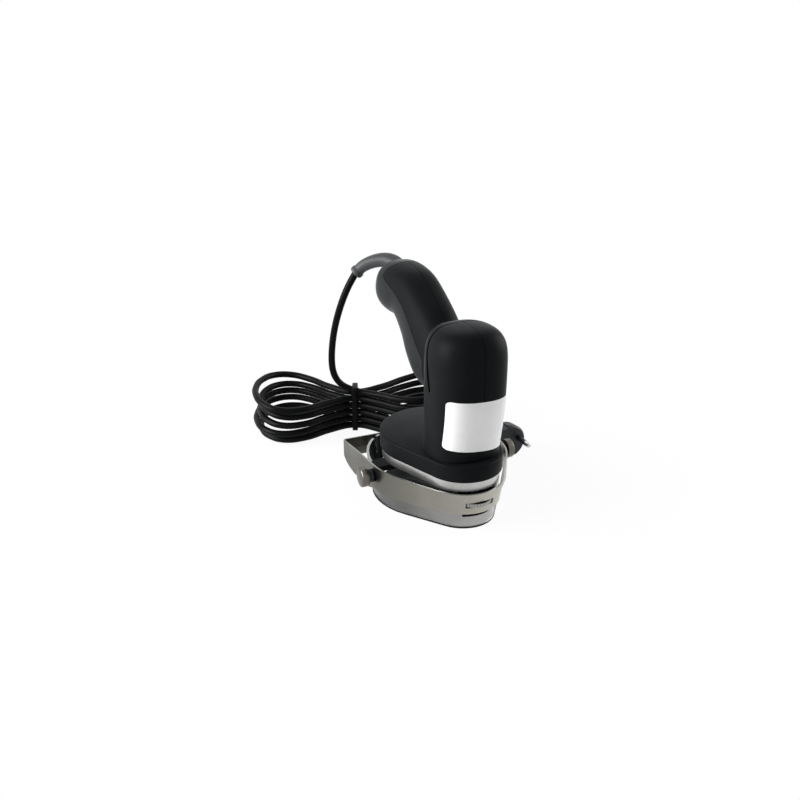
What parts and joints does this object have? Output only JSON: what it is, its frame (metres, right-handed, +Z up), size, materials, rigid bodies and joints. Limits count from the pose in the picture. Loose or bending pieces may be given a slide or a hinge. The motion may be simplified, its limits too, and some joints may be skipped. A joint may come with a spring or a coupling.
{
  "type": "electric kebab slicer",
  "caption": "Hand-held electric slicer: a round blade under a gear head, a motor column, a pistol grip with a trigger, a tilting steel guard frame and a mains cord tied in a hank.",
  "frame": {"origin": "on the motor axis, on the plane that the blade shroud rests on", "axes": "+Z up along the motor axis, +X from the nose to the blade and the grip, +Y to the left-hand side"},
  "size_m": [0.3004, 0.2178, 0.1872],
  "materials": {
    "black_plastic": "fine texture",
    "grip_plastic": "fine texture",
    "stainless": "brushed",
    "cast_aluminium": "satin",
    "blade_steel": "ground",
    "turned_steel": "turned",
    "gear_nylon": "moulded",
    "gear_steel": "machined",
    "can_steel": "plated",
    "copper": "turned",
    "carbon": "dull",
    "magnet": "dull",
    "cord_sheath": "semi-gloss",
    "plug_plastic": "moulded",
    "nickel": "plated"
  },
  "bodies": {
    "machine": {"housing_left": "black_plastic", "housing_right": "black_plastic", "grip_cover": "grip_plastic", "switch_body": "carbon", "motor_can": "can_steel", "motor_end_cap": "black_plastic", "motor_bearing_lower": "gear_steel", "motor_bearing_upper": "gear_steel", "magnet_1": "magnet", "magnet_2": "magnet", "brush_1": "carbon", "brush_2": "carbon", "spindle_bearing_lower": "gear_steel", "spindle_bearing_upper": "gear_steel", "gear_housing": "cast_aluminium", "head_cover": "black_plastic", "blade_shroud": "cast_aluminium", "pivot_knob_left": "turned_steel", "pivot_knob_right": "turned_steel", "wheel_stud": "turned_steel", "strain_relief": "cord_sheath", "cord_lead": "cord_sheath", "cord_hank": "cord_sheath", "cord_tie": "plug_plastic", "cord_tail": "cord_sheath", "plug_body": "plug_plastic", "plug_pin_1": "nickel", "plug_pin_2": "nickel"},
    "guard": {"guard_frame": "stainless"},
    "wheel": {"thumb_wheel": "turned_steel"},
    "blade_rotor": {"blade": "blade_steel", "blade_spindle": "turned_steel", "blade_nut": "turned_steel", "drive_gear": "gear_nylon"},
    "motor_rotor": {"motor_shaft": "gear_steel", "armature": "copper", "commutator": "copper", "cooling_fan": "carbon", "pinion": "gear_steel"},
    "trigger_body": {"trigger": "black_plastic"}
  },
  "joints": [
    {"name": "blade_spin", "type": "hinge", "parent": "machine", "child": "blade_rotor", "pos_m": [0.0465, 0, 0.02], "axis": [0, 0, 1], "continuous": true},
    {"name": "motor_spin", "type": "hinge", "parent": "machine", "child": "motor_rotor", "pos_m": [0, 0, 0.09], "axis": [0, 0, 1], "continuous": true},
    {"name": "frame_tilt", "type": "hinge", "parent": "machine", "child": "guard", "pos_m": [0.043, 0, 0.0255], "axis": [0, 1, 0], "range_deg": [-1, 6.5]},
    {"name": "wheel_turn", "type": "hinge", "parent": "guard", "child": "wheel", "pos_m": [-0.02031, 0, 0.0229], "axis": [0, 0, 1], "range_deg": [-35, 215]},
    {"name": "trigger_press", "type": "slide", "parent": "machine", "child": "trigger_body", "axis": [-0.7431, 0, 0.6691], "range_m": [0, 0.004], "stiffness_N_per_m": 400, "springref_m": -0.005}
  ],
  "couplings": [
    {"joint": "motor_spin", "follows": "blade_spin", "ratio": -4.1667},
    {"joint": "wheel_turn", "follows": "frame_tilt", "ratio": 32.5}
  ]
}
